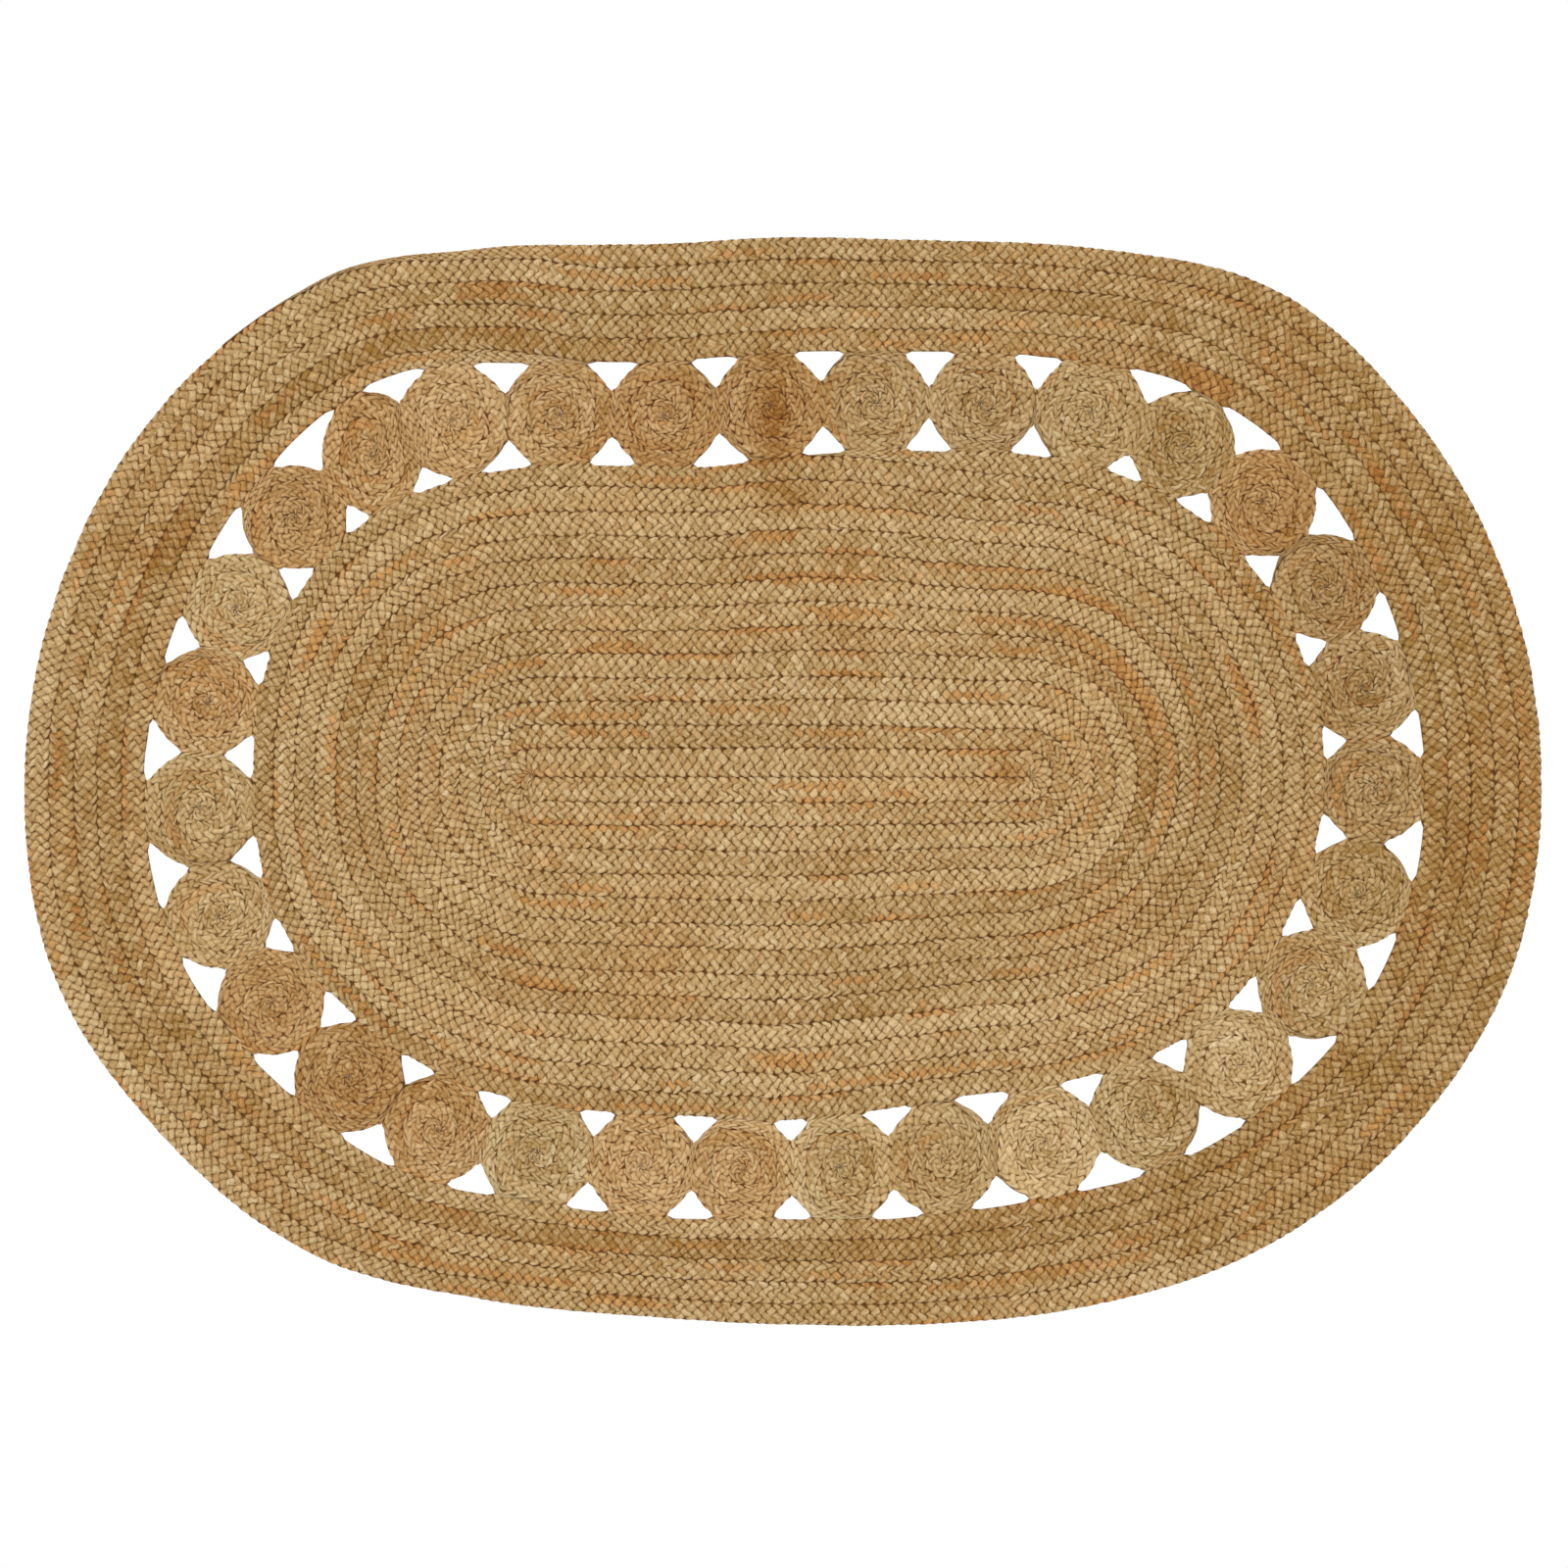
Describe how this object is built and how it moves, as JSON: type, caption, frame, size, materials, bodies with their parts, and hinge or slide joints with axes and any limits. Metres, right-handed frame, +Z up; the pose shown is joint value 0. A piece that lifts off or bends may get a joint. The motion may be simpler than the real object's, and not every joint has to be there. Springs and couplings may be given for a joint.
{
  "type": "jute rug",
  "caption": "Flat oval rug of braided jute: a coiled oval centre and a broad braided border, joined by a ring of small coiled discs.",
  "frame": {"origin": "on the floor under the middle of the rug's outline", "axes": "+X along the rug's length, +Y across it, +Z up from the floor"},
  "size_m": [1.699, 1.2193, 0.009],
  "materials": {
    "wide_braid": "natural undyed jute, five-strand flat braid, matt with a faint fibre sheen",
    "disc_plain": "natural jute, narrow five-strand braid, matt",
    "disc_dim": "slightly greyer natural jute, narrow five-strand braid, matt",
    "disc_straw": "pale straw jute, narrow five-strand braid, matt",
    "disc_golden": "golden jute, narrow five-strand braid, matt",
    "disc_brown": "warm brown jute, narrow five-strand braid, matt"
  },
  "bodies": {
    "root": {"centre_oval": "wide_braid", "border": "wide_braid", "disc_01": "disc_dim", "disc_02": "disc_dim", "disc_03": "disc_brown", "disc_04": "disc_plain", "disc_05": "disc_plain", "disc_06": "disc_dim", "disc_07": "disc_dim", "disc_08": "disc_brown", "disc_09": "disc_brown", "disc_10": "disc_golden", "disc_11": "disc_golden", "disc_12": "disc_golden", "disc_13": "disc_brown", "disc_14": "disc_plain", "disc_15": "disc_golden", "disc_16": "disc_plain", "disc_17": "disc_straw", "disc_18": "disc_brown", "disc_19": "disc_brown", "disc_20": "disc_golden", "disc_21": "disc_plain", "disc_22": "disc_golden", "disc_23": "disc_golden", "disc_24": "disc_plain", "disc_25": "disc_plain", "disc_26": "disc_straw", "disc_27": "disc_plain", "disc_28": "disc_straw", "disc_29": "disc_plain", "disc_30": "disc_plain", "disc_31": "disc_dim"}
  },
  "joints": []
}
